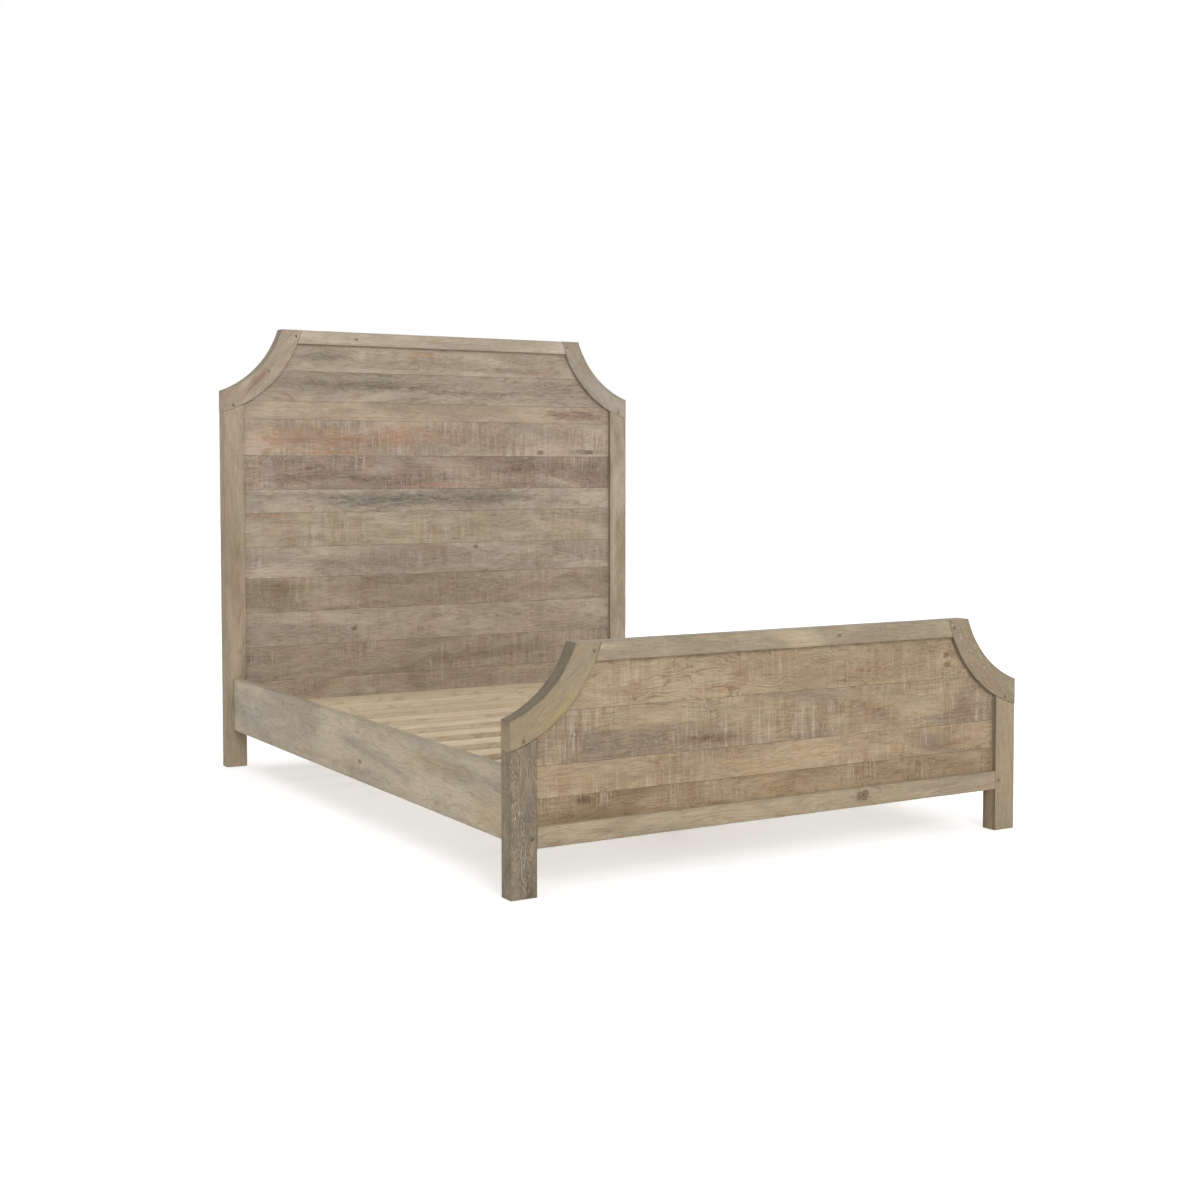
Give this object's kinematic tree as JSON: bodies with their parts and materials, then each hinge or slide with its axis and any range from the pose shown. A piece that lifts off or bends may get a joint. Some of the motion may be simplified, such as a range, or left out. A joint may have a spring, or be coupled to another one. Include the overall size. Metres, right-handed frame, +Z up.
{
  "type": "bed frame",
  "caption": "Queen-size wooden bed frame with scalloped frame-and-panel headboard and footboard, side rails, slatted deck and centre beam.",
  "frame": {"origin": "on the floor, under the middle of the bed's footprint", "axes": "+X across the width, to the right seen from the foot; +Y along the length, towards the headboard; +Z up"},
  "size_m": [1.676, 2.182, 1.562],
  "materials": {
    "frame_wood": "weathered, lime-washed, matt",
    "scallop_wood": "weathered, lime-washed, matt",
    "rail_wood": "weathered, smooth, matt",
    "plank_tan": "rough-sawn, lime-washed, matt",
    "plank_grey": "rough-sawn, grey-brown, matt",
    "plank_red": "rough-sawn, reddish, matt",
    "plank_warm": "rough-sawn, warm tan, matt",
    "plank_dark": "rough-sawn, dark, matt",
    "deck_wood": "planed softwood, bare",
    "peg_wood": "dark end grain",
    "black_steel": "black powder coat",
    "zinc_steel": "zinc plated",
    "brass": "brass coloured, plain",
    "black_plastic": "moulded nylon"
  },
  "bodies": {
    "frame": {"head_post_left": "frame_wood", "head_post_right": "frame_wood", "head_scallop_left": "scallop_wood", "head_scallop_right": "scallop_wood", "head_top_rail": "frame_wood", "head_bottom_rail": "frame_wood", "head_plank_1": "plank_tan", "head_plank_2": "plank_grey", "head_plank_3": "plank_tan", "head_plank_4": "plank_red", "head_plank_5": "plank_grey", "head_plank_6": "plank_dark", "head_plank_7": "plank_tan", "head_plank_8": "plank_grey", "head_plank_9": "plank_dark", "head_plank_10": "plank_tan", "head_plank_11": "plank_grey", "head_plank_12": "plank_tan", "foot_post_left": "frame_wood", "foot_post_right": "frame_wood", "foot_scallop_left": "scallop_wood", "foot_scallop_right": "scallop_wood", "foot_top_rail": "frame_wood", "foot_bottom_rail": "frame_wood", "foot_plank_1": "plank_tan", "foot_plank_2": "plank_red", "foot_plank_3": "plank_warm", "foot_plank_4": "plank_dark", "loose_tenons": "deck_wood", "joint_pegs": "peg_wood", "side_rail_left": "rail_wood", "side_rail_right": "rail_wood", "ledger_left": "deck_wood", "ledger_right": "deck_wood", "corner_brackets": "black_steel", "rail_bolts": "black_steel", "threaded_inserts": "brass", "bracket_screws": "zinc_steel", "ledger_screws": "zinc_steel", "centre_beam": "deck_wood", "beam_hangers": "black_steel", "leg_studs": "zinc_steel", "centre_leg_1": "deck_wood", "centre_leg_2": "deck_wood", "centre_leg_3": "deck_wood", "slat_1": "deck_wood", "slat_2": "deck_wood", "slat_3": "deck_wood", "slat_4": "deck_wood", "slat_5": "deck_wood", "slat_6": "deck_wood", "slat_7": "deck_wood", "slat_8": "deck_wood", "slat_9": "deck_wood", "slat_10": "deck_wood", "slat_11": "deck_wood", "slat_screws": "zinc_steel"},
    "levelling_foot_1": {"levelling_foot_1": "black_plastic"},
    "levelling_foot_2": {"levelling_foot_2": "black_plastic"},
    "levelling_foot_3": {"levelling_foot_3": "black_plastic"}
  },
  "joints": [
    {"name": "level_1", "type": "slide", "parent": "frame", "child": "levelling_foot_1", "axis": [0, 0, 1], "range_m": [-0.012, 0.008]},
    {"name": "level_2", "type": "slide", "parent": "frame", "child": "levelling_foot_2", "axis": [0, 0, 1], "range_m": [-0.012, 0.008]},
    {"name": "level_3", "type": "slide", "parent": "frame", "child": "levelling_foot_3", "axis": [0, 0, 1], "range_m": [-0.012, 0.008]}
  ]
}
